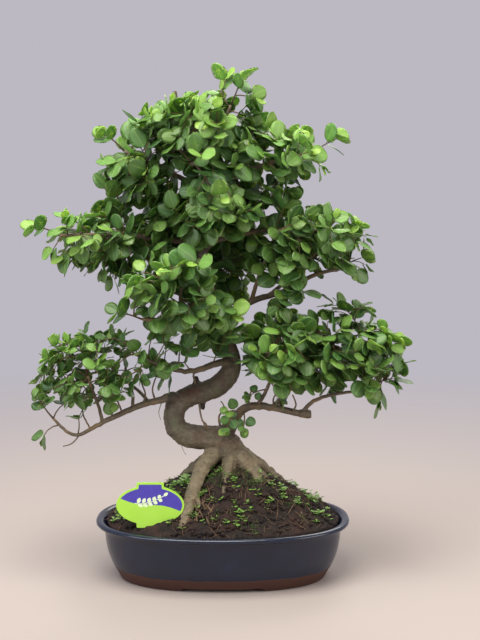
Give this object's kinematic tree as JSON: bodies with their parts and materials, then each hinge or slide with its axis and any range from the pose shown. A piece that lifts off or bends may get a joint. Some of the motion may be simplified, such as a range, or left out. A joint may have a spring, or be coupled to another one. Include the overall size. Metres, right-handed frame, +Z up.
{
  "type": "chinese privet bonsai",
  "caption": "Potted bonsai: S-curved trunk on spreading surface roots, branches with sprays of small oval leaves, mounded soil in an oval glazed pot with low feet, and a plain plant label.",
  "frame": {"origin": "middle of the whole part's box, on the surface that the pot's feet stand on", "axes": "+Z up the tree, +X along the pot to the right as seen from the front, +Y to the back"},
  "size_m": [0.447, 0.2204, 0.5871],
  "materials": {
    "pot_glaze": "gloss",
    "soil": "matte",
    "bark": "matte",
    "leaf": "satin",
    "label_plastic": "satin",
    "net_plastic": "matte"
  },
  "bodies": {
    "root": {"drain_net_left": "net_plastic", "drain_net_right": "net_plastic", "plant_label": "label_plastic", "pot": "pot_glaze", "soil": "soil", "spray_01": "leaf", "spray_02": "leaf", "spray_03": "leaf", "spray_04": "leaf", "spray_05": "leaf", "spray_06": "leaf", "spray_07": "leaf", "spray_08": "leaf", "spray_09": "leaf", "spray_10": "leaf", "spray_11": "leaf", "spray_12": "leaf", "spray_13": "leaf", "spray_14": "leaf", "spray_15": "leaf", "spray_16": "leaf", "spray_17": "leaf", "spray_18": "leaf", "spray_19": "leaf", "spray_20": "leaf", "spray_21": "leaf", "spray_22": "leaf", "spray_23": "leaf", "spray_24": "leaf", "spray_25": "leaf", "spray_26": "leaf", "spray_27": "leaf", "spray_28": "leaf", "spray_29": "leaf", "spray_30": "leaf", "spray_31": "leaf", "spray_32": "leaf", "spray_33": "leaf", "spray_34": "leaf", "spray_35": "leaf", "spray_36": "leaf", "spray_37": "leaf", "spray_38": "leaf", "spray_39": "leaf", "spray_40": "leaf", "spray_41": "leaf", "spray_42": "leaf", "spray_43": "leaf", "spray_44": "leaf", "spray_45": "leaf", "spray_46": "leaf", "spray_47": "leaf", "spray_48": "leaf", "spray_49": "leaf", "spray_50": "leaf", "spray_51": "leaf", "spray_52": "leaf", "tree": "bark"}
  },
  "joints": []
}
